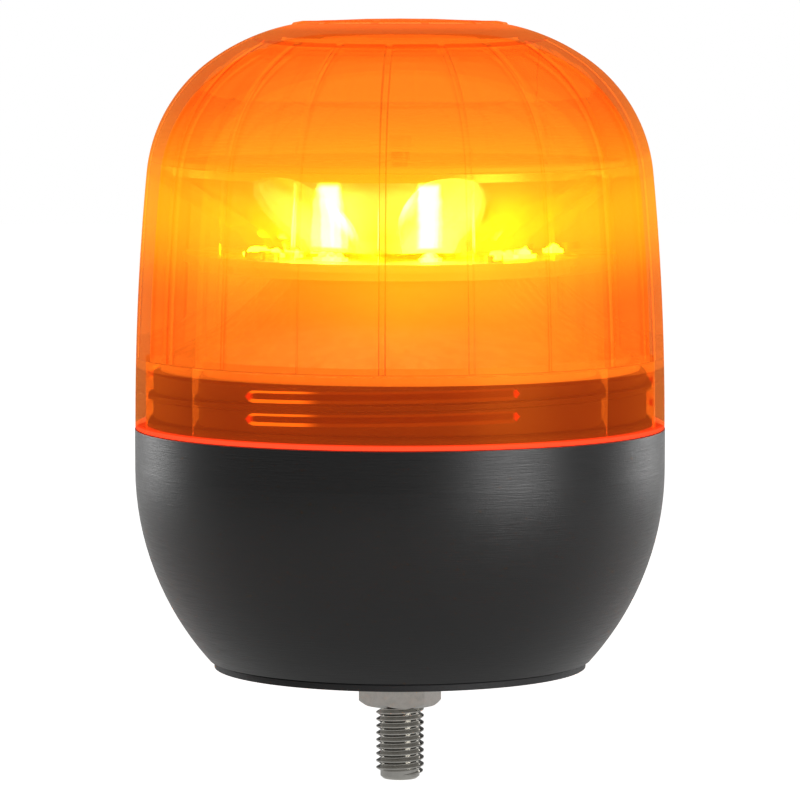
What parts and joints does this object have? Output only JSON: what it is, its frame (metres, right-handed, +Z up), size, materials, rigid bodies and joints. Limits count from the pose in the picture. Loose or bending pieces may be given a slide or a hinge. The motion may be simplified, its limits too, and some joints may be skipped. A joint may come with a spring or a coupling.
{
  "type": "rotating beacon",
  "caption": "Single-stud rotating warning beacon with a domed amber screw-on lens, black bowl-shaped base, rubber gasket and motor-driven petal reflector.",
  "frame": {"origin": "centre of the gasket's underside, where the beacon sits on its panel", "axes": "+Z up along the beacon's axis, away from the stud; -Y is the side that faces the viewer"},
  "size_m": [0.1324, 0.1324, 0.1904],
  "materials": {
    "amber_lens": "clear amber polycarbonate",
    "black_housing": "satin black powder coat",
    "black_nylon": "moulded",
    "black_rubber": "matt",
    "zinc_steel": "zinc plated",
    "steel": "turned",
    "brass": "turned",
    "aluminium_plate": "plain",
    "white_plastic": "moulded",
    "chrome_reflector": "metallised plastic",
    "gear_nylon": "moulded",
    "led_silicone": "encapsulated",
    "circuit_board": "solder mask",
    "green_plastic": "moulded",
    "capacitor_sleeve": "sleeve"
  },
  "bodies": {
    "base": {"base_gasket": "black_rubber", "base_housing": "black_housing", "board_screw_1": "steel", "board_screw_2": "steel", "board_screw_3": "steel", "board_standoff_1": "brass", "board_standoff_2": "brass", "board_standoff_3": "brass", "cable_grommet": "black_rubber", "capacitor": "capacitor_sleeve", "chassis_plate": "aluminium_plate", "chassis_screw_1": "steel", "chassis_screw_2": "steel", "chassis_screw_3": "steel", "control_board": "circuit_board", "gear_pillar_1": "brass", "gear_pillar_2": "brass", "gear_pillar_3": "brass", "gear_plate": "aluminium_plate", "idler_axle": "steel", "led_1": "led_silicone", "led_2": "led_silicone", "led_3": "led_silicone", "led_4": "led_silicone", "led_5": "led_silicone", "led_6": "led_silicone", "led_7": "led_silicone", "led_8": "led_silicone", "led_board": "white_plastic", "led_board_screw_1": "steel", "led_board_screw_2": "steel", "led_board_screw_3": "steel", "led_board_screw_4": "steel", "lower_bearing": "brass", "motor": "steel", "motor_screw_1": "steel", "motor_screw_2": "steel", "mounting_bolt": "zinc_steel", "mounting_nut": "zinc_steel", "pedestal": "white_plastic", "pedestal_screw_1": "steel", "pedestal_screw_2": "steel", "pedestal_screw_3": "steel", "pillar_screw_1": "steel", "pillar_screw_2": "steel", "pillar_screw_3": "steel", "terminal_block": "green_plastic", "thread_collar": "black_nylon", "upper_bearing": "brass"},
    "rotor": {"rotor_shaft": "steel", "reflector": "chrome_reflector", "reflector_cap": "white_plastic", "output_gear": "gear_nylon", "cap_screw": "steel", "retaining_clip": "steel"},
    "compound": {"compound_gear": "gear_nylon"},
    "motor_rotor": {"motor_pinion": "brass"},
    "lens_turner": {"lens_seal": "black_rubber"},
    "lens_cover": {"lens": "amber_lens"}
  },
  "joints": [
    {"name": "rotor_spin", "type": "hinge", "parent": "base", "child": "rotor", "pos_m": [0, 0, 0.1], "axis": [0, 0, 1], "continuous": true},
    {"name": "compound_spin", "type": "hinge", "parent": "base", "child": "compound", "pos_m": [0.0288, 0, 0.06], "axis": [0, 0, 1], "continuous": true},
    {"name": "motor_spin", "type": "hinge", "parent": "base", "child": "motor_rotor", "pos_m": [0.01755, 0.01949, 0.056], "axis": [0, 0, 1], "continuous": true},
    {"name": "lens_turn", "type": "hinge", "parent": "base", "child": "lens_turner", "pos_m": [0, 0, 0.062], "axis": [0, 0, 1], "range_deg": [0, 720]},
    {"name": "lens_lift", "type": "slide", "parent": "lens_turner", "child": "lens_cover", "axis": [0, 0, 1], "range_m": [0, 0.012]}
  ],
  "couplings": [
    {"joint": "compound_spin", "follows": "rotor_spin", "ratio": -5},
    {"joint": "motor_spin", "follows": "rotor_spin", "ratio": 25},
    {"joint": "lens_lift", "follows": "lens_turn", "m_per_rad": 0.00095493}
  ]
}
